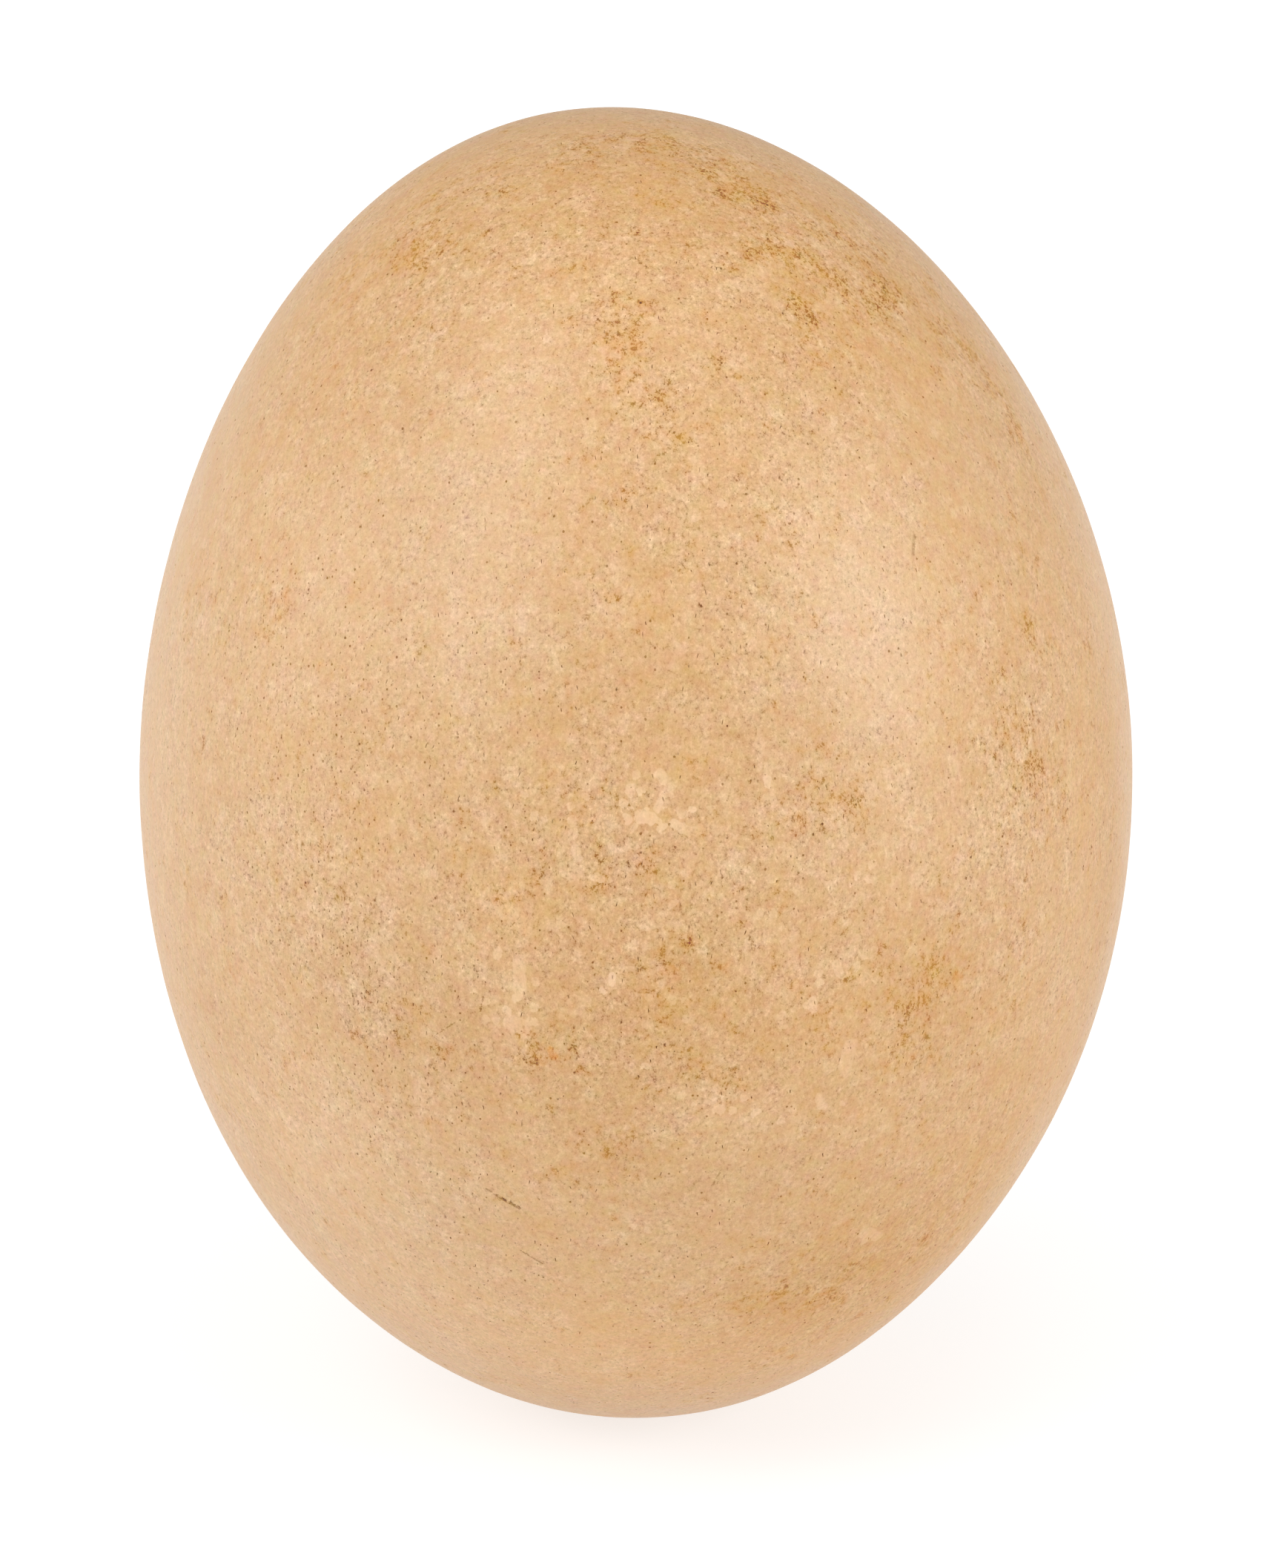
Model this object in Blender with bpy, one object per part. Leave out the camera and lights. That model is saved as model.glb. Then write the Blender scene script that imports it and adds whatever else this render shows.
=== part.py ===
"""Elephant bird egg, standing upright on a small flat at its lower end.

Units are metres, with +Z up. The origin is the middle of the flat that it rests on.
The egg grew as one piece, so it is one solid. It starts as an oval of revolution,
whose half breadth at latitude t is

    BREADTH / 2 * cos(t) * (1 + TAPER * sin(t) + SLIMMING * sin(t) ** 2)

A lean of the crown and a few broad swells then make it as uneven as a real egg.
"""

import math
from collections import namedtuple

import bmesh
import bpy
from mathutils import Vector

# Driving dimensions of the whole egg
HEIGHT = 0.300
BREADTH = 0.2229
FLAT_RADIUS = 0.019

# Shape of the oval: below zero, TAPER makes the upper end the slimmer one, and
# SLIMMING makes both ends a little more pointed than an ellipse.
TAPER = -0.0186
SLIMMING = -0.026

# The crown leans sideways, more and more from the widest level upwards.
CROWN_LEAN = Vector((-0.0055, 0.0, 0.0))
LEAN_POWER = 3

# A broad rise or hollow, centred on an azimuth and a latitude in degrees. It fades
# out over reach, also in degrees, and stands proud by rise.
Swell = namedtuple("Swell", "azimuth latitude reach rise")
SWELLS = (
    Swell(azimuth=180, latitude=-42, reach=24, rise=0.0013),
    Swell(azimuth=0, latitude=-52, reach=20, rise=-0.0018),
    Swell(azimuth=0, latitude=38, reach=24, rise=-0.0007),
)

# Fineness of the faceted surface
SEGMENTS = 72
RINGS = 44
MERGE_DISTANCE = 0.00001

# The angle at the rim of the flat is larger than this, and every other is smaller.
SHARP_ANGLE = math.radians(9)

# Weathered shell: a dull, warm buff
SHELL_COLOUR = (0.70, 0.47, 0.27, 1.0)
SHELL_ROUGHNESS = 0.5


def clear_scene():
    """Removes every object that the scene holds."""
    for old in list(bpy.data.objects):
        bpy.data.objects.remove(old)


def half_breadth(latitude):
    """Distance from the egg's axis to its surface at a latitude in radians."""
    height = math.sin(latitude)
    return BREADTH / 2 * math.cos(latitude) * (1 + TAPER * height + SLIMMING * height**2)


def flat_latitude():
    """Latitude, below the widest level, at which the oval is as wide as the flat."""
    low, high = -math.pi / 2, 0.0
    while high - low > 1e-9:
        middle = (low + high) / 2
        if half_breadth(middle) < FLAT_RADIUS:
            low = middle
        else:
            high = middle
    return high


def direction(azimuth, latitude):
    """Unit vector for an azimuth, counted from +X, and a latitude, both in radians."""
    level = math.cos(latitude)
    return Vector((level * math.cos(azimuth), level * math.sin(azimuth), math.sin(latitude)))


def spin_oval(lowest, half_length):
    """Turns the outline from the flat's rim to the crown, and closes the flat."""
    oval = bmesh.new()
    corners = []
    for ring in range(RINGS + 1):
        latitude = lowest + (math.pi / 2 - lowest) * ring / RINGS
        corners.append(
            oval.verts.new((half_breadth(latitude), 0.0, half_length * math.sin(latitude)))
        )
    outline = [oval.edges.new(pair) for pair in zip(corners, corners[1:])]
    bmesh.ops.spin(
        oval,
        geom=corners + outline,
        axis=(0, 0, 1),
        cent=(0, 0, 0),
        angle=2 * math.pi,
        steps=SEGMENTS,
    )
    bmesh.ops.remove_doubles(oval, verts=oval.verts[:], dist=MERGE_DISTANCE)
    rim = [edge for edge in oval.edges if edge.is_boundary]
    bmesh.ops.holes_fill(oval, edges=rim)
    bmesh.ops.recalc_face_normals(oval, faces=oval.faces[:])
    return oval


def make_uneven(oval, half_length):
    """Adds the swells and the lean of the crown to the even oval."""
    for vertex in oval.verts:
        latitude = math.asin(max(-1.0, min(1.0, vertex.co.z / half_length)))
        towards = direction(math.atan2(vertex.co.y, vertex.co.x), latitude)
        for swell in SWELLS:
            centre = direction(math.radians(swell.azimuth), math.radians(swell.latitude))
            distance = math.degrees(towards.angle(centre))
            vertex.co += towards * swell.rise * math.exp(-((distance / swell.reach) ** 2))
        vertex.co += CROWN_LEAN * max(0.0, vertex.co.z / half_length) ** LEAN_POWER


def stand_on_flat(oval, flat_level):
    """Moves the flat to the ground and levels its rim, which the swells have moved."""
    for vertex in oval.verts:
        vertex.co.z -= flat_level
    flat = max(oval.faces, key=lambda face: len(face.verts))
    for vertex in flat.verts:
        vertex.co.z = 0.0


def shell_material():
    """Matte buff, the overall impression of the mottled shell."""
    material = bpy.data.materials.new("shell")
    material.use_nodes = True
    shader = material.node_tree.nodes["Principled BSDF"]
    shader.inputs["Base Color"].default_value = SHELL_COLOUR
    shader.inputs["Roughness"].default_value = SHELL_ROUGHNESS
    shader.inputs["Metallic"].default_value = 0.0
    return material


def make_egg():
    """Makes the whole egg as one closed solid."""
    lowest = flat_latitude()
    half_length = HEIGHT / (1 - math.sin(lowest))
    shape = spin_oval(lowest, half_length)
    make_uneven(shape, half_length)
    stand_on_flat(shape, half_length * math.sin(lowest))

    mesh = bpy.data.meshes.new("egg")
    shape.to_mesh(mesh)
    shape.free()
    mesh.shade_smooth()
    mesh.set_sharp_from_angle(angle=SHARP_ANGLE)
    mesh.materials.append(shell_material())
    egg = bpy.data.objects.new("egg", mesh)
    bpy.context.scene.collection.objects.link(egg)
    return egg


clear_scene()
make_egg()
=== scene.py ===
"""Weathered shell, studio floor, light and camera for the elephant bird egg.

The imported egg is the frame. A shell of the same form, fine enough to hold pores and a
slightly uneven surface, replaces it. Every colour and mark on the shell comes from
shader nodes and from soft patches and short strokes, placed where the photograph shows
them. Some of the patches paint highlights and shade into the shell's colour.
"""

import math
from collections import namedtuple

import bpy
import numpy as np
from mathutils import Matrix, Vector, noise
from mathutils.bvhtree import BVHTree


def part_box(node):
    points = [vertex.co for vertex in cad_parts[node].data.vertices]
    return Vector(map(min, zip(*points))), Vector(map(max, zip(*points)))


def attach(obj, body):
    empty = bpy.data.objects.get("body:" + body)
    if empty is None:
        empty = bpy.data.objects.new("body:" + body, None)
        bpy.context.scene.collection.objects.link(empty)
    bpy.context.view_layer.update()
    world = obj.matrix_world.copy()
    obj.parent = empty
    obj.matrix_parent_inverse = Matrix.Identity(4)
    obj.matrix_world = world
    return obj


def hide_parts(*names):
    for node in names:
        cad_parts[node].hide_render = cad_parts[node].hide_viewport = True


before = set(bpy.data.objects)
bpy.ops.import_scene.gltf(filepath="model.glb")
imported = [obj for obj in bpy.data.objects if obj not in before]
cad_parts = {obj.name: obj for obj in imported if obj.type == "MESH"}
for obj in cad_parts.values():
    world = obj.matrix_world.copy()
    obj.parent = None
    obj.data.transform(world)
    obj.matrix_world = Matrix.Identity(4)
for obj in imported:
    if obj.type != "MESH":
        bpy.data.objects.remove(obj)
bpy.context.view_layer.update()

MM = 0.001

# Form of the egg, as in the solid: an oval of revolution whose half breadth at
# latitude t is BREADTH / 2 * cos(t) * (1 + TAPER * sin(t) + SLIMMING * sin(t) ** 2)
LOWEST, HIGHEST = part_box("egg")
HEIGHT = HIGHEST.z - LOWEST.z
BREADTH = HIGHEST.y - LOWEST.y
FLAT_RADIUS = 19 * MM
TAPER = -0.0186
SLIMMING = -0.026
CROWN_LEAN = -5.5 * MM
LEAN_POWER = 3
Swell = namedtuple("Swell", "azimuth latitude reach rise")
SWELLS = (
    Swell(azimuth=180, latitude=-42, reach=24, rise=1.3 * MM),
    Swell(azimuth=0, latitude=-52, reach=20, rise=-1.8 * MM),
    Swell(azimuth=0, latitude=38, reach=24, rise=-0.7 * MM),
)

# Camera: 20 degrees above the horizon, in front of the egg
PHOTO_WIDTH, PHOTO_HEIGHT = 1736, 2115
ELEVATION = math.radians(20)
CAMERA_DISTANCE = 1.5
LENS = 153.3
SENSOR = 36.0
TARGET = Vector((0.0016, 0.0, 0.1461))

# Shell mesh: each side of a cube is cut into CUTS x CUTS and blown up to the egg.
CUTS = 102
MAP_MARGIN = 0.004
GRAIN_SEED = 7

# A pore adds five points to the mesh: four round its rim and one at its floor. Its half
# sizes, and the room round the quad's middle that it stays in, are shares of the quad's
# sides.
PORES = 7000
PORE_POINTS = 5
PORE_DEPTH = 0.35 * MM
SHORTEST_PORE, PORE_STRETCH = 0.07, 0.23
PORE_WIDTHS = (0.05, 0.105)
PORE_ROOM = 0.46
PORE_SHADES = (0.4, 1.7)
# A pore's pale rim is a painted highlight.
PAINTED_RIM_HIGHLIGHT = 0.07

# Density of pores and coarseness of grain away from the patches that change them
PLAIN_PORES = 0.16
PLAIN_GRAIN = 0.8

# Unevenness of the surface, from long waves to fine ripples, always inwards
Wave = namedtuple("Wave", "length depth")
WAVES = (
    Wave(length=48 * MM, depth=0.22 * MM),
    Wave(length=15 * MM, depth=0.09 * MM),
    Wave(length=5 * MM, depth=0.035 * MM),
)
INSET = 0.06 * MM

# A patch is a soft oval on the shell, centred where the photograph shows it, at pixel
# (x, y). Its half sizes across and along the shell are in millimetres.
Patch = namedtuple("Patch", "x y across along strength")

STAINS = (
    # crown
    Patch(793, 205, 7, 11, 0.6),
    Patch(889, 198, 7, 10, 0.6),
    Patch(600, 272, 13, 13, 0.4),
    Patch(500, 356, 12, 12, 0.3),
    Patch(560, 350, 9, 8, 0.25),
    Patch(960, 215, 8, 6, 0.5),
    Patch(1045, 245, 9, 6, 0.4),
    Patch(992, 267, 8, 9, 0.4),
    Patch(1033, 322, 8, 11, 0.45),
    Patch(1058, 348, 8, 9, 0.3),
    Patch(1115, 285, 8, 9, 0.3),
    Patch(1150, 400, 18, 18, 0.25),
    Patch(1184, 377, 9, 12, 0.25),
    Patch(1208, 396, 9, 11, 0.2),
    Patch(828, 438, 8, 9, 0.45),
    Patch(862, 470, 8, 10, 0.3),
    Patch(1085, 430, 6, 8, 0.4),
    # upper right flank
    Patch(1287, 445, 8, 10, 0.35),
    Patch(1314, 479, 7, 10, 0.35),
    Patch(1348, 527, 7, 10, 0.35),
    Patch(1376, 596, 6, 10, 0.4),
    Patch(1378, 738, 3, 6, 0.6),
    Patch(800, 541, 5, 6, 0.4),
    Patch(910, 582, 6, 8, 0.5),
    # right flank
    Patch(1386, 850, 4, 7, 0.5),
    Patch(1378, 979, 10, 14, 0.3),
    Patch(1390, 1040, 12, 12, 0.3),
    Patch(1425, 1085, 10, 12, 0.3),
    Patch(1115, 1020, 12, 9, 0.4),
    Patch(1129, 1103, 8, 7, 0.4),
    Patch(1270, 1300, 10, 18, 0.4),
    Patch(1235, 1380, 11, 12, 0.3),
    Patch(1150, 1290, 9, 12, 0.3),
    # middle and lower front
    Patch(773, 952, 5, 6, 0.5),
    Patch(773, 1062, 6, 5, 0.5),
    Patch(840, 1165, 8, 5, 0.45),
    Patch(680, 1216, 7, 6, 0.35),
    Patch(915, 1298, 11, 11, 0.4),
    Patch(690, 1440, 7, 6, 0.45),
    Patch(733, 1428, 6, 5, 0.5),
    Patch(965, 1459, 8, 5, 0.5),
    Patch(832, 1572, 8, 9, 0.6),
    Patch(1074, 1747, 18, 12, 0.4),
    # left flank
    Patch(262, 800, 8, 9, 0.5),
    Patch(325, 815, 8, 8, 0.4),
    Patch(458, 1294, 16, 18, 0.1),
    Patch(554, 1404, 13, 10, 0.2),
)

# Where pale flecks gather. The ovals on the upper left and upper right highlights are painted
# sheen made of pale flecks, and the rest are the shell's own flecks.
BLOOMS_AND_SHEEN = (
    Patch(711, 445, 14, 18, 0.4),
    Patch(1129, 582, 14, 14, 0.35),
    Patch(1047, 664, 8, 6, 0.5),
    Patch(965, 692, 7, 5, 0.5),
    Patch(1321, 705, 10, 9, 0.25),
    Patch(852, 1063, 4, 3, 0.7),
    Patch(878, 1092, 5, 4, 1.1),
    Patch(908, 1112, 4, 2, 0.9),
    Patch(745, 1089, 8, 6, 0.6),
    Patch(620, 1060, 8, 8, 0.35),
    Patch(1042, 1052, 2, 3, 0.8),
    Patch(1293, 1144, 15, 9, 0.25),
    Patch(1160, 1190, 5, 5, 0.6),
    Patch(1125, 1320, 6, 8, 0.5),
    Patch(676, 1318, 5, 7, 0.7),
    Patch(694, 1370, 6, 8, 0.9),
    Patch(951, 1476, 6, 4, 0.8),
    Patch(1020, 1500, 9, 4, 0.8),
    Patch(1156, 1486, 6, 5, 0.6),
    Patch(813, 1494, 3, 2, 0.6),
    Patch(827, 1638, 4, 3, 0.6),
    Patch(864, 1661, 4, 3, 0.6),
    Patch(1176, 1668, 4, 2, 0.9),
    Patch(950, 1250, 34, 30, 0.4),
)

PORE_FIELDS = (
    Patch(430, 1010, 24, 32, 0.8),
    Patch(450, 1260, 22, 26, 1.0),
    Patch(500, 1480, 20, 18, 1.3),
    Patch(600, 900, 16, 16, 0.5),
    Patch(380, 800, 14, 18, 0.4),
    Patch(660, 1660, 18, 12, 0.4),
    Patch(1240, 1400, 18, 22, 0.2),
    Patch(1300, 900, 18, 24, 0.2),
)

# Above zero the shell is yellower there, and below zero it is greyer. Besides the shell's
# own tint, the greyer ovals on the highlights are painted sheen, the greyer left flank is a
# painted cool light, the yellower right rim and lower right are painted shade, and the
# yellower bottom is painted warm light from the floor.
TINTS_AND_PAINTED_LIGHT = (
    Patch(850, 250, 60, 40, 0.9),
    Patch(1130, 360, 26, 26, 0.4),
    Patch(860, 430, 26, 28, 0.5),
    Patch(1170, 490, 14, 12, 0.4),
    Patch(280, 620, 30, 50, -0.7),
    Patch(260, 1000, 26, 44, -0.8),
    Patch(420, 1320, 34, 34, -0.7),
    Patch(520, 1650, 36, 30, -0.8),
    Patch(630, 825, 20, 24, -0.7),
    Patch(711, 445, 14, 18, -0.5),
    Patch(1150, 850, 18, 26, -0.8),
    Patch(1129, 582, 16, 14, -0.4),
    Patch(700, 1220, 14, 12, 0.5),
    Patch(1200, 1730, 24, 30, 0.7),
    Patch(1440, 1400, 16, 30, 0.6),
    Patch(850, 1400, 40, 26, 0.6),
    Patch(1110, 1350, 16, 14, 0.4),
    Patch(1250, 1400, 30, 30, 0.5),
    Patch(1150, 1700, 34, 24, 0.6),
    Patch(850, 1800, 40, 20, 0.9),
    Patch(1330, 1580, 20, 44, 0.9),
    Patch(1480, 1050, 16, 50, 0.9),
    Patch(1060, 1830, 26, 16, 0.9),
    Patch(850, 1860, 22, 14, 0.6),
    Patch(730, 1600, 20, 24, 0.5),
    Patch(1030, 1440, 12, 10, 0.4),
    Patch(800, 1800, 34, 30, 0.7),
    Patch(1490, 1250, 10, 30, 0.5),
    Patch(520, 600, 34, 34, -0.4),
)

# Above zero the shell is lighter there, and below zero it is darker. Besides the shell's
# own lighter and darker tone, these hold painted highlights on the left and right flanks
# and the lower left, painted shade along the right rim and the lower right, and painted
# light from the floor on the bottom.
PAINTED_LIGHT_AND_TONE = (
    Patch(850, 190, 50, 24, -0.1),
    Patch(711, 445, 14, 20, 0.5),
    Patch(1170, 870, 16, 28, 0.35),
    Patch(1060, 660, 12, 12, 0.2),
    Patch(630, 835, 10, 16, 0.5),
    Patch(1293, 1144, 16, 10, 0.3),
    Patch(420, 1560, 20, 16, 0.5),
    Patch(300, 1050, 20, 36, -0.3),
    Patch(290, 1420, 20, 40, -0.3),
    Patch(1340, 1580, 18, 44, -0.5),
    Patch(1500, 1080, 10, 50, -0.6),
    Patch(458, 1294, 16, 20, -0.3),
    Patch(554, 1404, 14, 12, -0.4),
    Patch(850, 1140, 22, 12, -0.3),
    Patch(917, 1294, 10, 10, -0.4),
    Patch(850, 1400, 34, 20, -0.4),
    Patch(1074, 1747, 22, 15, -0.5),
    Patch(1180, 1680, 22, 20, -0.3),
    Patch(1184, 377, 14, 16, -0.3),
    Patch(290, 1370, 10, 9, -0.4),
    Patch(440, 960, 12, 16, -0.3),
    Patch(770, 930, 10, 8, -0.3),
    Patch(930, 930, 10, 8, -0.3),
    Patch(1100, 1000, 14, 12, -0.4),
    Patch(1260, 1330, 9, 14, -0.4),
    Patch(820, 1540, 8, 8, -0.4),
    Patch(350, 670, 16, 20, 0.2),
    Patch(870, 1095, 9, 7, 0.1),
    Patch(700, 1340, 8, 14, 0.3),
    Patch(990, 1500, 14, 7, 0.5),
    Patch(1130, 1380, 9, 10, 0.3),
    Patch(1300, 1440, 16, 24, -0.2),
    Patch(730, 1600, 20, 24, 0.4),
    Patch(830, 1840, 24, 18, 0.5),
    Patch(800, 1800, 34, 30, 0.4),
    Patch(470, 1520, 20, 20, 0.4),
    Patch(1490, 1250, 8, 30, -0.4),
    Patch(520, 600, 34, 34, -0.35),
    Patch(550, 1720, 20, 12, 0.25),
    Patch(1200, 1730, 24, 30, -0.6),
    Patch(1280, 700, 26, 34, 0.2),
    Patch(700, 1800, 40, 26, 0.7),
)

# Above zero the grain is coarser there, and below zero it is smoother.
COARSE = (
    Patch(900, 1260, 46, 44, 0.4),
    Patch(1000, 660, 30, 32, 0.35),
    Patch(850, 330, 60, 34, 0.3),
    Patch(1370, 1050, 18, 34, 0.35),
    Patch(430, 1250, 24, 34, 0.3),
    Patch(280, 640, 26, 34, -0.3),
    Patch(1290, 620, 16, 24, -0.25),
)

# A stroke runs from pixel (x0, y0) to pixel (x1, y1). Its width is in millimetres.
Stroke = namedtuple("Stroke", "x0 y0 x1 y1 width strength")
SCRATCHES = (
    Stroke(655, 1604, 672, 1614, 0.35, 0.6),
    Stroke(670, 1613, 700, 1630, 0.6, 0.9),
    Stroke(702, 1688, 731, 1705, 0.3, 0.7),
    Stroke(656, 1659, 664, 1662, 0.25, 0.5),
    Stroke(676, 1679, 684, 1682, 0.25, 0.5),
    Stroke(651, 1346, 647, 1364, 0.4, 0.7),
    Stroke(585, 1398, 617, 1378, 0.2, 0.6),
    Stroke(700, 1238, 678, 1262, 0.15, 0.5),
    Stroke(944, 816, 945, 818, 0.6, 1.0),
    Stroke(1234, 722, 1232, 748, 0.6, 0.5),
    Stroke(973, 1178, 974, 1198, 0.2, 0.7),
    Stroke(960, 1600, 972, 1580, 0.3, 0.5),
    Stroke(718, 1434, 723, 1433, 0.8, 0.45),
    Stroke(704, 1446, 712, 1445, 0.8, 0.3),
    Stroke(910, 1142, 911, 1144, 0.4, 1.0),
    Stroke(846, 1163, 848, 1166, 0.4, 0.8),
    Stroke(1010, 1052, 1012, 1056, 0.35, 0.7),
    Stroke(643, 1312, 645, 1314, 0.5, 0.7),
)

# The few pale flecks that stand out one by one
FLECKS = (
    Stroke(862, 1103, 878, 1105, 1.6, 0.8),
    Stroke(880, 1106, 895, 1114, 0.9, 0.8),
    Stroke(886, 1092, 893, 1079, 1.0, 0.65),
    Stroke(843, 1103, 846, 1108, 1.0, 0.75),
    Stroke(851, 1062, 850, 1069, 1.2, 0.6),
    Stroke(891, 1043, 896, 1050, 1.3, 0.6),
    Stroke(909, 1111, 919, 1115, 1.1, 0.75),
    Stroke(925, 1120, 941, 1122, 1.3, 0.4),
    Stroke(1037, 1047, 1037, 1058, 1.0, 0.75),
    Stroke(933, 1091, 935, 1092, 0.8, 0.7),
    Stroke(803, 1184, 809, 1188, 1.0, 0.6),
    Stroke(827, 1315, 827, 1326, 1.0, 1.0),
    Stroke(812, 1336, 814, 1338, 0.8, 0.8),
    Stroke(699, 1300, 701, 1333, 1.7, 0.5),
    Stroke(690, 1380, 704, 1386, 2.2, 0.5),
    Stroke(868, 1439, 874, 1440, 0.9, 0.6),
    Stroke(776, 1142, 780, 1158, 1.0, 0.5),
    Stroke(684, 1228, 704, 1250, 2.2, 0.3),
    Stroke(1128, 1300, 1132, 1312, 1.1, 0.5),
    Stroke(1096, 1350, 1096, 1364, 1.1, 0.6),
    Stroke(1146, 1412, 1140, 1446, 1.9, 0.4),
    Stroke(1104, 1482, 1110, 1492, 1.4, 0.5),
    Stroke(1168, 1664, 1184, 1668, 1.8, 0.5),
)

# Rusty flecks
RUST = (
    Stroke(744, 1418, 746, 1425, 1.4, 1.0),
    Stroke(727, 1428, 733, 1434, 1.4, 0.6),
    Stroke(1290, 1318, 1296, 1330, 2.0, 0.5),
    Stroke(900, 1308, 914, 1316, 2.0, 0.4),
)


def half_breadth(latitude):
    """Distance from the egg's axis to its surface at a latitude in radians."""
    height = np.sin(latitude)
    return BREADTH / 2 * np.cos(latitude) * (1 + TAPER * height + SLIMMING * height**2)


def flat_latitude():
    """Latitude, below the widest level, at which the oval is as wide as the flat."""
    latitudes = np.linspace(-math.pi / 2, 0.0, 20001)
    return latitudes[np.argmax(half_breadth(latitudes) >= FLAT_RADIUS)]


def egg_surface(directions):
    """Points of the smooth egg for an array of unit directions."""
    lowest = flat_latitude()
    half_length = HEIGHT / (1 - math.sin(lowest))
    height = np.clip(directions[:, 2], -1, 1)
    latitude = np.arcsin(height)
    azimuth = np.arctan2(directions[:, 1], directions[:, 0])
    breadth = half_breadth(latitude)
    points = np.stack(
        [breadth * np.cos(azimuth), breadth * np.sin(azimuth), half_length * height], axis=1
    )
    for swell in SWELLS:
        turn, rise = math.radians(swell.azimuth), math.radians(swell.latitude)
        centre = np.array(
            [math.cos(rise) * math.cos(turn), math.cos(rise) * math.sin(turn), math.sin(rise)]
        )
        distance = np.degrees(np.arccos(np.clip(directions @ centre, -1, 1)))
        fade = np.exp(-((distance / swell.reach) ** 2))
        points += directions * (swell.rise * fade)[:, None]
    points[:, 0] += CROWN_LEAN * np.clip(points[:, 2] / half_length, 0, 1) ** LEAN_POWER
    points[:, 2] -= half_length * math.sin(lowest)
    return points


def cube_ball(cuts):
    """Directions, quads and a flat map of a cube's six sides, blown up to a ball."""
    steps = np.arange(cuts + 1)
    first, second = np.meshgrid(steps, steps, indexing="ij")
    corner = (np.arange(cuts)[:, None] * (cuts + 1) + np.arange(cuts)).ravel()
    quad = np.stack([corner, corner + cuts + 1, corner + cuts + 2, corner + 1], axis=1)
    lattice, quads, places = [], [], []
    for side in range(6):
        axis, end = side // 2, side % 2 * cuts
        grid = np.zeros((cuts + 1, cuts + 1, 3), int)
        grid[..., axis] = end
        grid[..., (axis + 1) % 3] = first
        grid[..., (axis + 2) % 3] = second
        lattice.append(grid.reshape(-1, 3))
        quads.append((quad if end else quad[:, ::-1]) + side * (cuts + 1) ** 2)
        column, row = side % 3, side // 3
        cell = np.stack([first, second], axis=2).reshape(-1, 2) / cuts
        cell = cell * (1 - 2 * MAP_MARGIN) + MAP_MARGIN
        places.append((cell + (column, row)) / (3, 2))
    lattice, shared = np.unique(np.concatenate(lattice), axis=0, return_inverse=True)
    shared = shared.ravel()
    quads = np.concatenate(quads)
    spread = np.tan((lattice / cuts * 2 - 1) * math.pi / 4)
    directions = spread / np.linalg.norm(spread, axis=1)[:, None]
    return directions, shared[quads], np.concatenate(places)[quads]


def ripple(points):
    """Depth of the surface's unevenness at each point, from 0 inwards."""
    depth = np.full(len(points), INSET)
    for number, wave in enumerate(WAVES):
        shift = Vector((7.3 * number, 3.1, 5.7))
        swing = [noise.noise(Vector(point) / wave.length + shift) for point in points]
        depth += wave.depth * (0.5 + 0.5 * np.clip(swing, -1, 1))
    return depth


def camera_place():
    """Where the camera stands, and the directions of its right, up and back."""
    back = Vector((0, -math.cos(ELEVATION), math.sin(ELEVATION)))
    right = Vector((1, 0, 0))
    return TARGET + back * CAMERA_DISTANCE, right, back.cross(right), back


def on_egg(x, y):
    """The point of the solid egg that the photograph shows at pixel (x, y)."""
    place, right, up, back = camera_place()
    pixel = SENSOR / LENS / PHOTO_HEIGHT
    ray = right * (x - PHOTO_WIDTH / 2) * pixel + up * (PHOTO_HEIGHT / 2 - y) * pixel - back
    point, normal, _, _ = SOLID.ray_cast(place, ray.normalized())
    if point is None:
        raise ValueError(f"no egg at pixel {x}, {y}")
    return point, normal


def oval(points, centre, normal, across, along):
    """A soft oval, 1 at its centre, at each point. along runs up the shell."""
    level = Vector((0, 0, 1)).cross(normal).normalized()
    upwards = normal.cross(level)
    offset = points - np.array(centre)
    reach = max(across, along)
    return np.exp(
        -((offset @ np.array(level) / across) ** 2)
        - (offset @ np.array(upwards) / along) ** 2
        - (offset @ np.array(normal) / reach) ** 2
    )


def painted(points, patches):
    """Sum of the patches' strengths at each point."""
    total = np.zeros(len(points))
    for patch in patches:
        centre, normal = on_egg(patch.x, patch.y)
        total += patch.strength * oval(
            points, centre, normal, patch.across * MM, patch.along * MM
        )
    return total


def out_of_sight(points, normals):
    """0 where the photograph shows the shell, and 1 well round its sides and back."""
    place = np.array(camera_place()[0])
    towards = place - points
    facing = (normals * towards).sum(1) / np.linalg.norm(towards, axis=1)
    return np.clip(0.5 - facing * 3, 0, 1)


def scattered(points, count, smallest, largest, draw):
    """Soft ovals scattered over the whole egg, for the sides that the photograph hides."""
    total = np.zeros(len(points))
    for _ in range(count):
        towards = Vector(draw.normal(size=3)).normalized()
        centre = egg_surface(np.array([towards]))[0]
        reach = draw.uniform(smallest, largest) * MM
        strength = draw.uniform(0.3, 1.0)
        total += strength * oval(points, centre, towards, reach, reach * 1.4)
    return total


def pore_quads(points, quads, density, draw):
    """Picks the quads that get a pore, more of them where pores are dense."""
    odds = density[quads].mean(1)
    middle = points[quads].mean(1)
    odds[middle[:, 2] < 1 * MM] = 0
    return draw.choice(len(quads), size=PORES, replace=False, p=odds / odds.sum())


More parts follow.
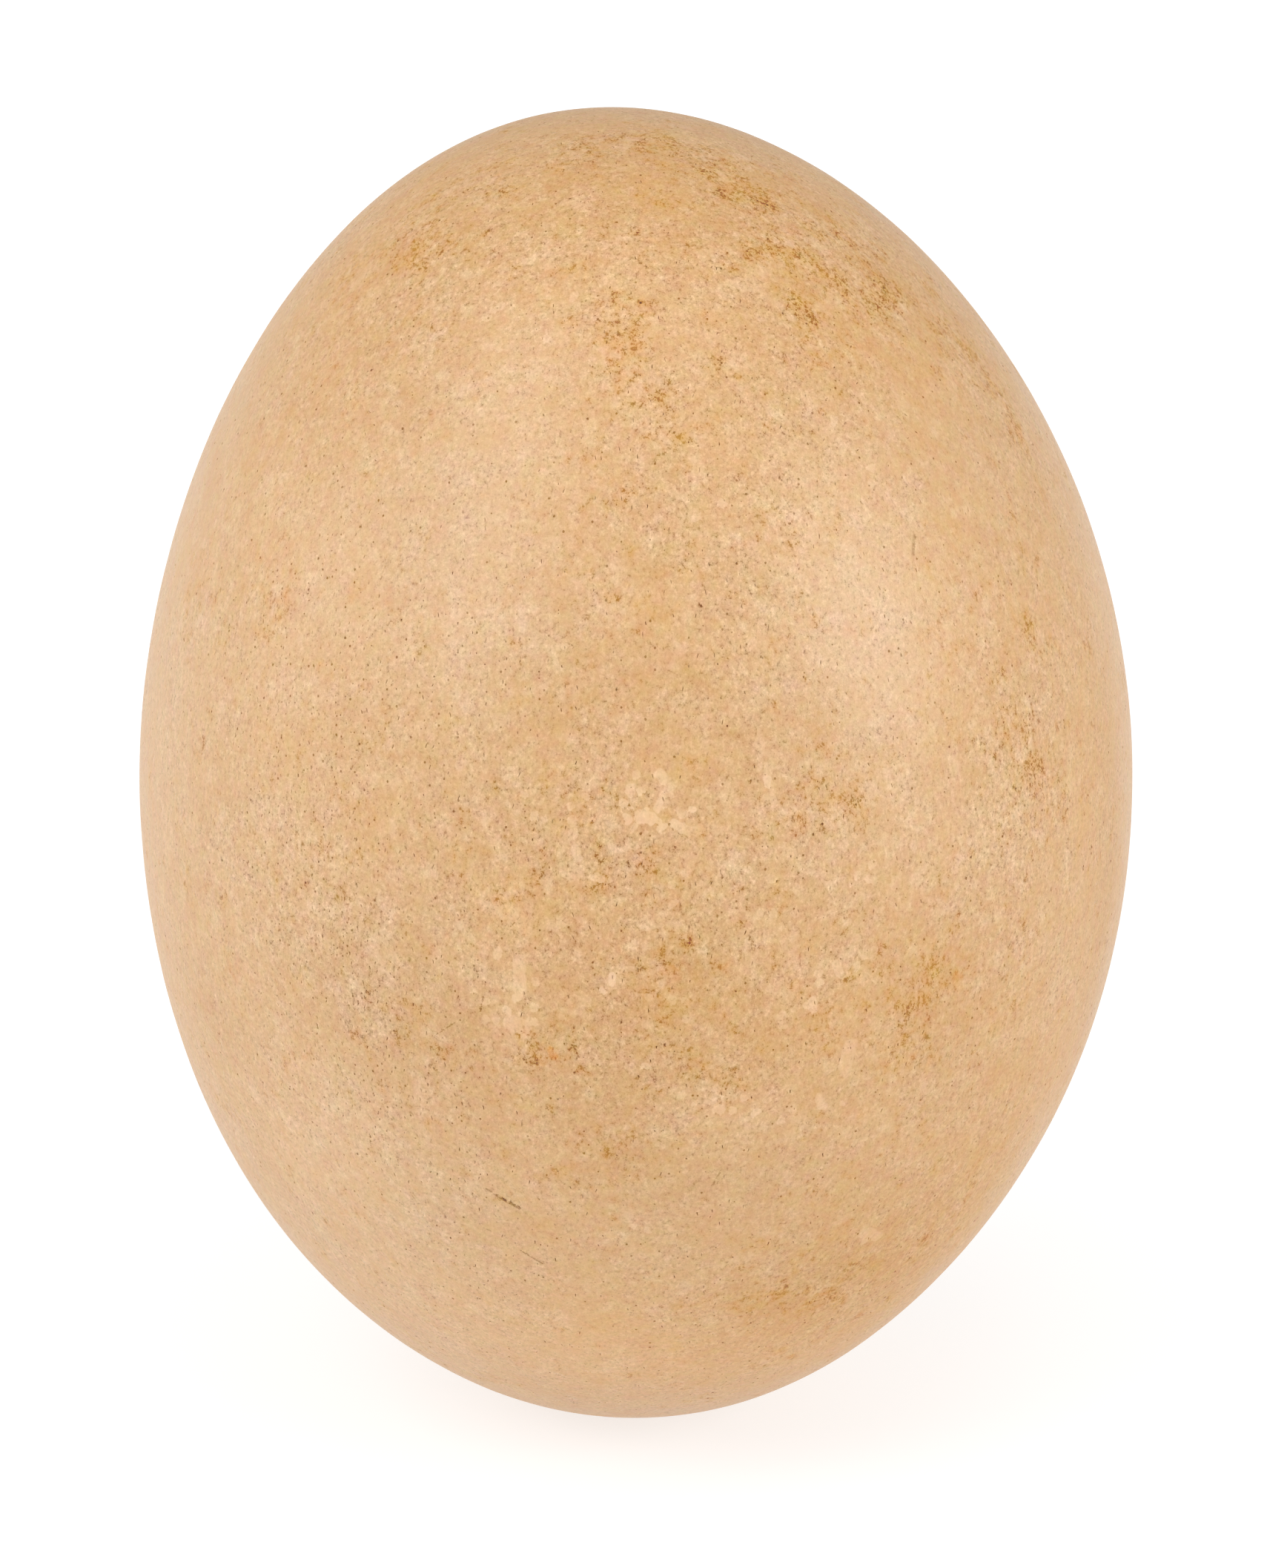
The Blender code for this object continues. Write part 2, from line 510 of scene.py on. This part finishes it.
def add_pores(points, quads, places, pored, draw):
    """Sinks a small four-sided pit in each picked quad. Returns the mesh's parts."""
    corners, maps = points[quads[pored]], places[pored]

    def rise(corner):
        """How far each quad's edge from its first corner to this one rises or falls."""
        return np.abs(corners[:, corner] - corners[:, 0])[:, 2]

    # The long side of a pore runs along the edge that goes up the shell.
    edge_up = rise(1) > rise(3)
    long = SHORTEST_PORE + PORE_STRETCH * draw.uniform(0, 1, PORES) ** 1.4
    short = draw.uniform(*PORE_WIDTHS, PORES)
    lean = draw.uniform(-0.5, 0.5, PORES) * long
    first, second = np.where(edge_up, (long, short), (short, long))
    first_lean, second_lean = np.where(edge_up, (0 * lean, lean), (lean, 0 * lean))
    reach = np.stack([first + abs(first_lean), second + abs(second_lean)], axis=1)
    middle = 0.5 + draw.uniform(-1, 1, (PORES, 2)) * (PORE_ROOM - reach)

    def blend_at(values, a, b):
        """Values at the share a along the quad's first edge and b along its second."""
        a, b = a[:, None], b[:, None]
        near = values[:, 0] * (1 - a) + values[:, 1] * a
        far = values[:, 3] * (1 - a) + values[:, 2] * a
        return near * (1 - b) + far * b

    normal = np.cross(corners[:, 2] - corners[:, 0], corners[:, 3] - corners[:, 1])
    normal /= np.linalg.norm(normal, axis=1)[:, None]
    depth = PORE_DEPTH * draw.uniform(0.5, 1.0, PORES)
    rim_points, rim_maps = [], []
    for turn_a, turn_b in ((-1, -1), (1, -1), (1, 1), (-1, 1)):
        a = middle[:, 0] + turn_a * first + turn_b * first_lean
        b = middle[:, 1] + turn_b * second + turn_a * second_lean
        rim_points.append(blend_at(corners, a, b))
        rim_maps.append(blend_at(maps, a, b))
    floor_point = blend_at(corners, middle[:, 0], middle[:, 1]) - normal * depth[:, None]
    floor_map = blend_at(maps, middle[:, 0], middle[:, 1])

    start = len(points) + np.arange(PORES) * PORE_POINTS
    floor = start + PORE_POINTS - 1
    added = np.stack(rim_points + [floor_point], axis=1).reshape(-1, 3)
    ring, pit, ring_maps, pit_maps = [], [], [], []
    for k in range(4):
        after = (k + 1) % 4
        ring.append(
            np.stack([quads[pored, k], quads[pored, after], start + after, start + k], axis=1)
        )
        ring_maps.append(
            np.stack([maps[:, k], maps[:, after], rim_maps[after], rim_maps[k]], axis=1)
        )
        pit.append(np.stack([start + k, start + after, floor], axis=1))
        pit_maps.append(np.stack([rim_maps[k], rim_maps[after], floor_map], axis=1))
    whole = np.ones(len(quads), bool)
    whole[pored] = False
    return (
        np.concatenate([points, added]),
        np.concatenate([quads[whole]] + ring),
        np.concatenate(pit),
        np.concatenate([places[whole]] + ring_maps),
        np.concatenate(pit_maps),
    )


def shell_mesh():
    """The fine shell, with its pores sunk in and its patches as vertex values."""
    draw = np.random.default_rng(GRAIN_SEED)
    directions, quads, places = cube_ball(CUTS)
    points = egg_surface(directions)
    outward = directions / np.array([BREADTH, BREADTH, HEIGHT])
    outward /= np.linalg.norm(outward, axis=1)[:, None]
    points -= outward * ripple(points)[:, None]
    points[:, 2] = np.maximum(points[:, 2], 0.0)

    hidden = out_of_sight(points, outward)
    density = PLAIN_PORES + painted(points, PORE_FIELDS)
    density += hidden * 0.8 * scattered(points, 14, 16, 34, draw)
    pored = pore_quads(points, quads, density, draw)
    first_rim = len(points)
    points, quads, pits, quad_maps, pit_maps = add_pores(points, quads, places, pored, draw)

    mesh = bpy.data.meshes.new("shell")
    mesh.from_pydata(points.tolist(), [], quads.tolist() + pits.tolist())
    mesh.shade_smooth()
    layer = mesh.uv_layers.new(name="OFBake")
    layer.uv.foreach_set(
        "vector", np.concatenate([quad_maps.reshape(-1, 2), pit_maps.reshape(-1, 2)]).ravel()
    )

    outward = np.array([v.normal for v in mesh.vertices])
    hidden = out_of_sight(points, outward)
    # Each pore is dark at its floor and has a slightly pale rim, which is a painted highlight.
    shade = np.zeros(len(points))
    depth = draw.uniform(*PORE_SHADES, PORES)
    floor = PORE_POINTS - 1
    for rim in range(floor):
        shade[first_rim + rim :: PORE_POINTS] = -PAINTED_RIM_HIGHLIGHT * depth
    shade[first_rim + floor :: PORE_POINTS] = depth

    def unseen(count, smallest, largest):
        """Marks on the hidden sides. Their sizes are in millimetres."""
        return hidden * scattered(points, count, smallest, largest, draw)

    # The tint, light and bloom layers carry painted highlights and shade besides the shell's
    # own marks.
    layers = {
        "stain": painted(points, STAINS) + unseen(90, 7, 15) * 0.45,
        "bloom_and_sheen": painted(points, BLOOMS_AND_SHEEN) + unseen(40, 4, 12),
        "pores": PLAIN_PORES + painted(points, PORE_FIELDS) + hidden * 0.3,
        "coarse": PLAIN_GRAIN + painted(points, COARSE) + unseen(12, 20, 40) * 0.4,
        "tint": painted(points, TINTS_AND_PAINTED_LIGHT) + unseen(9, 20, 36) - unseen(9, 20, 36),
        "light": painted(points, PAINTED_LIGHT_AND_TONE) + unseen(9, 12, 26) - unseen(9, 12, 26),
        "pit": shade,
    }
    for name, values in layers.items():
        layer = mesh.attributes.new(name=name, type="FLOAT", domain="POINT")
        layer.data.foreach_set("value", values.astype(np.float32))
    return mesh


class Recipe:
    """Adds shader nodes to one material, a call for each node."""

    def __init__(self, material):
        material.use_nodes = True
        self.tree = material.node_tree
        self.shader = self.tree.nodes["Principled BSDF"]

    def add(self, kind, *inputs, out=0, **settings):
        """Makes a node, fills its inputs in order and returns one of its outputs."""
        node = self.tree.nodes.new(kind)
        for name, value in settings.items():
            setattr(node, name, value)
        for socket, value in zip([s for s in node.inputs if s.enabled], inputs):
            self.fill(socket, value)
        return node.outputs[out]

    def fill(self, socket, value):
        """Links an output to a socket, or sets the socket to a value."""
        if isinstance(value, bpy.types.NodeSocket):
            self.tree.links.new(value, socket)
        else:
            socket.default_value = value

    def math(self, operation, *inputs, clamp=False):
        return self.add("ShaderNodeMath", *inputs, operation=operation, use_clamp=clamp)

    def vector(self, operation, *inputs, out=0):
        return self.add("ShaderNodeVectorMath", *inputs, operation=operation, out=out)

    def attribute(self, name):
        return self.add("ShaderNodeAttribute", attribute_name=name, out=2)

    def noise(self, place, size, detail, rough):
        """Noise with features about size millimetres wide."""
        node = self.tree.nodes.new("ShaderNodeTexNoise")
        self.fill(node.inputs["Vector"], place)
        node.inputs["Scale"].default_value = 1 / size
        node.inputs["Detail"].default_value = detail
        node.inputs["Roughness"].default_value = rough
        return node.outputs["Fac"]

    def shift(self, place, swing, reach):
        """Moves a place by reach millimetres along each axis, for each unit of swing."""
        return self.vector("MULTIPLY_ADD", swing, (reach, reach, reach), place)

    def cells(self, place, size):
        """Distance from the middle of cells about size millimetres wide, and their colour."""
        node = self.tree.nodes.new("ShaderNodeTexVoronoi")
        self.fill(node.inputs["Vector"], place)
        node.inputs["Scale"].default_value = 1 / size
        return node.outputs["Distance"], node.outputs["Color"]

    def ramp(self, value, low, high, from_value=0.0, to_value=1.0):
        """Goes smoothly from from_value at low to to_value at high, and no further."""
        node = self.tree.nodes.new("ShaderNodeMapRange")
        node.interpolation_type = "SMOOTHSTEP"
        self.fill(node.inputs["Value"], value)
        self.fill(node.inputs["From Min"], low)
        self.fill(node.inputs["From Max"], high)
        node.inputs["To Min"].default_value = from_value
        node.inputs["To Max"].default_value = to_value
        return node.outputs["Result"]

    def near_line(self, place, start, end):
        """Distance from the line between two places, which are in millimetres."""
        run = end - start
        offset = self.vector("SUBTRACT", place, start)
        share = self.vector("DOT_PRODUCT", offset, run / run.length_squared, out=1)
        share = self.math("MAXIMUM", self.math("MINIMUM", share, 1.0), 0.0)
        foot = self.add("ShaderNodeVectorMath", operation="SCALE")
        self.fill(foot.node.inputs[0], run)
        self.fill(foot.node.inputs["Scale"], share)
        return self.vector("LENGTH", self.vector("SUBTRACT", offset, foot), out=1)

    def strokes(self, place, strokes, core):
        """Strength of the strokes, full within the share core of their width."""
        total = 0.0
        for stroke in strokes:
            start = on_egg(stroke.x0, stroke.y0)[0] / MM
            end = on_egg(stroke.x1, stroke.y1)[0] / MM
            distance = self.near_line(place, start, end)
            inner = stroke.width * core
            mark = self.ramp(distance, inner, stroke.width, stroke.strength, 0.0)
            total = self.math("MAXIMUM", total, mark)
        return total


def linear(red, green, blue):
    """A colour given as the screen shows it, from 0 to 255, in the shader's own scale."""

    def channel(value):
        value /= 255
        return value / 12.92 if value <= 0.04045 else ((value + 0.055) / 1.055) ** 2.4

    return (channel(red), channel(green), channel(blue), 1.0)


GROUND = linear(198, 158, 113)

# A thinner layer of ochre lightens the red least and the blue most, and a thicker one
# darkens them likewise. Sand and pores have less colour of their own. Greyness lightens
# the blue and a little of the green, and greenness the green.
OCHRE_SHARES = (1.0, 1.45, 2.5)
SAND_SHARES = (1.0, 1.2, 1.65)
GREY_SHARES = (0.0, 0.45, 1.5)
GREEN_SHARES = (0.0, 1.0, 0.0)
DARKEST = (0.22, 0.12, 0.06)

# Sizes of the shader's noises and cells, in millimetres
HUE_SIZE, PATCH_SIZE, GREEN_SIZE = 18, 10, 6
PEBBLE_SIZE, GRAIN_SIZE = 5, 0.9
FLECK_SPACING, DOT_SPACING = 2.6, 1.0

# Heights are scaled by this before the grain is laid, which makes it longer upwards.
UPWARD_SCALE = 0.82

# How much each kind of mark thins or thickens the ochre, or adds or takes away sand
SAND_CONTRAST = 0.75
PALE_SAND = 0.06
DASH_DARKNESS = 0.16
PEBBLE_CONTRAST = 0.23
PATCH_CONTRAST = 0.14
STAIN_DARKNESS = 0.05
STAINED_DASH_DARKNESS = 0.12
FLECK_PALENESS = 0.27
# The light patches hold painted highlights and shade as well as the shell's own tone.
LIGHTNESS_STEP = 0.085
PIT_DARKNESS = 0.62

# How much each of these adds to the shell's greyness or greenness, or takes away from it
HUE_CONTRAST = 0.5
GREEN_CONTRAST = 0.3
# The tint patches also hold painted sheen, a painted cool light and painted shade.
TINT_STEP = 0.09
STAIN_WARMTH = 0.13
RUST_WARMTH, RUST_REDNESS = 0.25, 0.05

# The heights of the relief are in millimetres.
GLOSS_ROUGHNESS = 0.42
GRAIN_RELIEF, DOT_RELIEF = 0.12, -0.08
RELIEF_STRENGTH = 0.7


def shell_material():
    """Buff shell: mottled ground, ochre dashes and stains, flecks, pores, scratches, and
    painted highlights and shade.
    """
    material = bpy.data.materials.new("shell")
    r = Recipe(material)
    stain, bloom_and_sheen, pores = r.attribute("stain"), r.attribute("bloom_and_sheen"), r.attribute("pores")
    tint, light, pit = r.attribute("tint"), r.attribute("light"), r.attribute("pit")
    coarse = r.attribute("coarse")

    # Places in millimetres. The grain runs a little up the shell.
    coords = r.add("ShaderNodeTexCoord", out=3)
    place = r.vector("MULTIPLY", coords, (1 / MM, 1 / MM, 1 / MM))
    grained = r.vector("MULTIPLY", coords, (1 / MM, 1 / MM, UPWARD_SCALE / MM))
    hue = r.noise(place, HUE_SIZE, detail=3, rough=1.0)
    green = r.noise(place, GREEN_SIZE, detail=2, rough=1.2)
    patchy = r.noise(place, PATCH_SIZE, detail=3, rough=0.75)
    mottle = r.noise(grained, PEBBLE_SIZE, detail=2, rough=1.0)
    fine = r.noise(grained, GRAIN_SIZE, detail=2, rough=0.95)
    bumpy = r.math("SUBTRACT", mottle, 0.5)
    sandy = r.math("SUBTRACT", fine, 0.5)

    # Stains soak the ground, in the darker parts of the mottle first
    soak = r.math("MULTIPLY_ADD", bumpy, -0.8, patchy)
    soak = r.ramp(r.math("MULTIPLY_ADD", stain, 0.36, soak), 0.52, 0.92)

    # Sand, with small dashes and the thin broken outlines of pebbles. It comes and goes.
    coarse = r.math("MULTIPLY", coarse, r.ramp(hue, 0.38, 0.62, 0.75, 1.25))
    sand = r.math("MULTIPLY", sandy, SAND_CONTRAST)
    sand = r.math("MULTIPLY_ADD", r.ramp(fine, 0.56, 0.7), PALE_SAND, sand)
    dash = r.ramp(r.math("MULTIPLY_ADD", soak, -0.13, fine), 0.3, 0.4, 1.0, 0.0)
    sand = r.math("MULTIPLY_ADD", dash, -DASH_DARKNESS, sand)
    outline = r.math("ABSOLUTE", r.math("SUBTRACT", bumpy, 0.06))
    outline = r.ramp(outline, 0.0, 0.025, 1.0, 0.0)
    outline = r.math("MULTIPLY", outline, r.ramp(fine, 0.44, 0.54, 1.0, 0.0))
    outline = r.math("MULTIPLY", outline, r.math("MULTIPLY_ADD", soak, 0.16, 0.11))
    sand = r.math("MULTIPLY", r.math("SUBTRACT", sand, outline), coarse)

    # Pebbles of the mottle
    thin = r.math("MULTIPLY", bumpy, PEBBLE_CONTRAST)
    thin = r.math("MULTIPLY_ADD", r.ramp(bumpy, 0.08, 0.12), 0.03, thin)
    thin = r.math("MULTIPLY_ADD", soak, -STAIN_DARKNESS, thin)
    stained_dash = r.math("MULTIPLY", dash, soak)
    thin = r.math("MULTIPLY_ADD", stained_dash, -STAINED_DASH_DARKNESS, thin)
    thin = r.math("MULTIPLY", thin, coarse)
    thin = r.math("MULTIPLY_ADD", r.math("SUBTRACT", patchy, 0.5), PATCH_CONTRAST, thin)

    # Pale flecks cover that ground, scattered where the shell is bleached and where sheen is
    # painted, and singly
    distance, cell = r.cells(r.shift(place, bumpy, 3.0), FLECK_SPACING)
    pick = r.add("ShaderNodeSeparateColor", cell)
    distance = r.math("MULTIPLY_ADD", sandy, -0.3, distance)
    chance = r.math("MULTIPLY_ADD", bloom_and_sheen, -0.6, 0.9)
    pale = r.ramp(pick, chance, r.math("ADD", chance, 0.2))
    pale = r.math("MULTIPLY", pale, r.math("MULTIPLY_ADD", bloom_and_sheen, 0.4, 0.3))
    pale = r.math("MULTIPLY", pale, r.ramp(distance, 0.38, 0.47, 1.0, 0.0))
    shifted = r.shift(r.shift(place, bumpy, 2.4), sandy, 0.7)
    pale = r.math("MAXIMUM", pale, r.strokes(shifted, FLECKS, 0.75))
    rust = r.strokes(shifted, RUST, 0.4)
    thin = r.math("MULTIPLY_ADD", pale, r.math("SUBTRACT", FLECK_PALENESS, thin), thin)
    sand = r.math("MULTIPLY", sand, r.math("MULTIPLY_ADD", pale, -0.6, 1.0))
    # The light patches add painted highlights and shade, along with the shell's own lighter
    # and darker tone.
    thin = r.math("MULTIPLY_ADD", light, LIGHTNESS_STEP, thin)

    # Small pores drawn by the shader, between those sunk in the mesh
    distance, cell = r.cells(grained, DOT_SPACING)
    pick = r.add("ShaderNodeSeparateColor", cell)
    chance = r.math("SUBTRACT", 0.92, r.math("MULTIPLY", pores, 0.24))
    size = r.math("MULTIPLY", r.ramp(pick, chance, 1.0), 0.26)
    dot = r.ramp(r.math("SUBTRACT", distance, size), -0.05, 0.03, 1.0, 0.0)
    dot = r.math("MULTIPLY", dot, r.ramp(size, 0.01, 0.1))
    dark = r.math("MULTIPLY_ADD", dot, 0.75, pit)

    # Scratches and single dark specks
    torn = r.strokes(r.shift(place, sandy, 1.5), SCRATCHES, 0.4)
    torn = r.math("MULTIPLY", torn, r.math("MULTIPLY_ADD", sandy, -2.5, 0.85, clamp=True))
    sand = r.math("MULTIPLY_ADD", r.math("MAXIMUM", dark, torn), -PIT_DARKNESS, sand)
    # Below zero, dark is the pale rim of a pore, a painted highlight.
    sand = r.math("MULTIPLY_ADD", r.math("MINIMUM", dark, 0.0), -PIT_DARKNESS, sand)

    # Colour of the ground under that much ochre
    grey = r.math("MULTIPLY", r.math("SUBTRACT", hue, 0.5), HUE_CONTRAST)
    grey = r.math("MULTIPLY_ADD", bumpy, 0.12, grey)
    # The tint patches add painted sheen, a painted cool light and painted shade, along with
    # the shell's own tint.
    grey = r.math("MULTIPLY_ADD", tint, -TINT_STEP, grey)
    grey = r.math("MULTIPLY_ADD", soak, -STAIN_WARMTH, grey)
    grey = r.math("MULTIPLY_ADD", rust, -RUST_WARMTH, grey)
    green = r.math("MULTIPLY", r.math("SUBTRACT", green, 0.5), GREEN_CONTRAST)
    green = r.math("MULTIPLY_ADD", rust, -RUST_REDNESS, green)
    tone = r.vector("MULTIPLY_ADD", thin, OCHRE_SHARES, (1.0, 1.0, 1.0))
    tone = r.vector("MULTIPLY_ADD", sand, SAND_SHARES, tone)
    tone = r.vector("MULTIPLY_ADD", grey, GREY_SHARES, tone)
    tone = r.vector("MULTIPLY_ADD", green, GREEN_SHARES, tone)
    tone = r.vector("MAXIMUM", tone, DARKEST)
    colour = r.vector("MULTIPLY", tone, GROUND[:3])
    r.fill(r.shader.inputs["Base Color"], colour)

    # Satin gloss, duller in stains, pores and pale pebbles, and fine relief
    rough = r.math("MULTIPLY_ADD", bumpy, 0.4, GLOSS_ROUGHNESS)
    rough = r.math("MULTIPLY_ADD", soak, 0.15, rough)
    rough = r.math("MULTIPLY_ADD", dark, 0.4, rough, clamp=True)
    r.fill(r.shader.inputs["Roughness"], rough)
    relief = r.math("MULTIPLY_ADD", fine, GRAIN_RELIEF, r.math("MULTIPLY", dot, DOT_RELIEF))
    bump = r.tree.nodes.new("ShaderNodeBump")
    bump.inputs["Strength"].default_value = RELIEF_STRENGTH
    bump.inputs["Distance"].default_value = MM
    r.fill(bump.inputs["Height"], relief)
    r.fill(r.shader.inputs["Normal"], bump.outputs["Normal"])
    return material


def make_shell():
    """The dressed egg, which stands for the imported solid."""
    mesh = shell_mesh()
    mesh.materials.append(shell_material())
    shell = bpy.data.objects.new("shell", mesh)
    bpy.context.scene.collection.objects.link(shell)
    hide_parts("egg")
    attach(shell, "root")


# The floor is a hair lower than the egg's flat spot, so that the two never coincide.
FLOOR_HALF = 12.0
FLOOR_HEIGHT = -0.05 * MM
FLOOR_GREY = (0.4, 0.4, 0.4, 1.0)
FLOOR_GLOW = 0.69
WHITE = (1.0, 1.0, 1.0, 1.0)


def make_floor():
    """A plain table top whose own glow keeps it white and its shadows pale."""
    sides = ((-1, -1), (1, -1), (1, 1), (-1, 1))
    corners = [(x * FLOOR_HALF, y * FLOOR_HALF, FLOOR_HEIGHT) for x, y in sides]
    mesh = bpy.data.meshes.new("floor")
    mesh.from_pydata(corners, [], [(0, 1, 2, 3)])
    material = bpy.data.materials.new("floor")
    shader = Recipe(material).shader
    shader.inputs["Base Color"].default_value = FLOOR_GREY
    shader.inputs["Roughness"].default_value = 0.9
    shader.inputs["Specular IOR Level"].default_value = 0.0
    shader.inputs["Emission Color"].default_value = WHITE
    shader.inputs["Emission Strength"].default_value = FLOOR_GLOW
    mesh.materials.append(material)
    floor = bpy.data.objects.new("floor", mesh)
    bpy.context.scene.collection.objects.link(floor)


# A softbox stands at an azimuth, from the camera to the right, and a height angle.
Softbox = namedtuple("Softbox", "name azimuth elevation power")
SOFTBOXES = (
    Softbox("left key", -44, 42, 8.5),
    Softbox("right key", 60, 18, 10.0),
    Softbox("left side", -80, 15, 6.2),
    Softbox("top", 30, 72, 4.6),
)
SOFTBOX_DISTANCE = 1.6
SOFTBOX_WIDTH, SOFTBOX_HEIGHT = 0.8, 0.9

# The background light hangs behind and above the egg, and shines on the far floor. Its
# back points towards the camera's side and up.
BACKGROUND_PLACE = (0, 0.9, 1.5)
BACKGROUND_BACK = Vector((0, -0.9, 0.43))
BACKGROUND_WIDTH, BACKGROUND_HEIGHT = 2.0, 0.8
BACKGROUND_POWER = 16
WORLD_STRENGTH = 0.6


def area_light(name, place, back, width, height, power):
    """A softbox at a place, shining away from the direction back."""
    light = bpy.data.lights.new(name, "AREA")
    light.shape = "RECTANGLE"
    light.size, light.size_y = width, height
    light.energy = power
    lamp = bpy.data.objects.new(name, light)
    lamp.location = place
    lamp.rotation_euler = back.to_track_quat("Z", "Y").to_euler()
    bpy.context.scene.collection.objects.link(lamp)


def make_lights():
    """The softboxes round the egg, the background light, and white all round."""
    middle = Vector((0, 0, HEIGHT / 2))
    for box in SOFTBOXES:
        turn, rise = math.radians(box.azimuth), math.radians(box.elevation)
        back = Vector(
            (math.cos(rise) * math.sin(turn), -math.cos(rise) * math.cos(turn), math.sin(rise))
        )
        place = middle + back * SOFTBOX_DISTANCE
        area_light(box.name, place, back, SOFTBOX_WIDTH, SOFTBOX_HEIGHT, box.power)
    area_light(
        "background light",
        BACKGROUND_PLACE,
        BACKGROUND_BACK,
        BACKGROUND_WIDTH,
        BACKGROUND_HEIGHT,
        BACKGROUND_POWER,
    )
    world = bpy.data.worlds.new("studio")
    world.use_nodes = True
    surround = world.node_tree.nodes["Background"]
    surround.inputs["Color"].default_value = WHITE
    surround.inputs["Strength"].default_value = WORLD_STRENGTH
    bpy.context.scene.world = world
    bpy.context.scene.view_settings.view_transform = "Standard"


def make_camera():
    """Camera at the photograph's viewing angle."""
    place, _, _, back = camera_place()
    data = bpy.data.cameras.new("camera")
    data.lens = LENS
    data.sensor_width = SENSOR
    camera = bpy.data.objects.new("camera", data)
    camera.location = place
    camera.rotation_euler = back.to_track_quat("Z", "Y").to_euler()
    bpy.context.scene.collection.objects.link(camera)
    bpy.context.scene.camera = camera


SOLID = BVHTree.FromObject(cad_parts["egg"], bpy.context.evaluated_depsgraph_get())
make_camera()
make_shell()
make_floor()
make_lights()
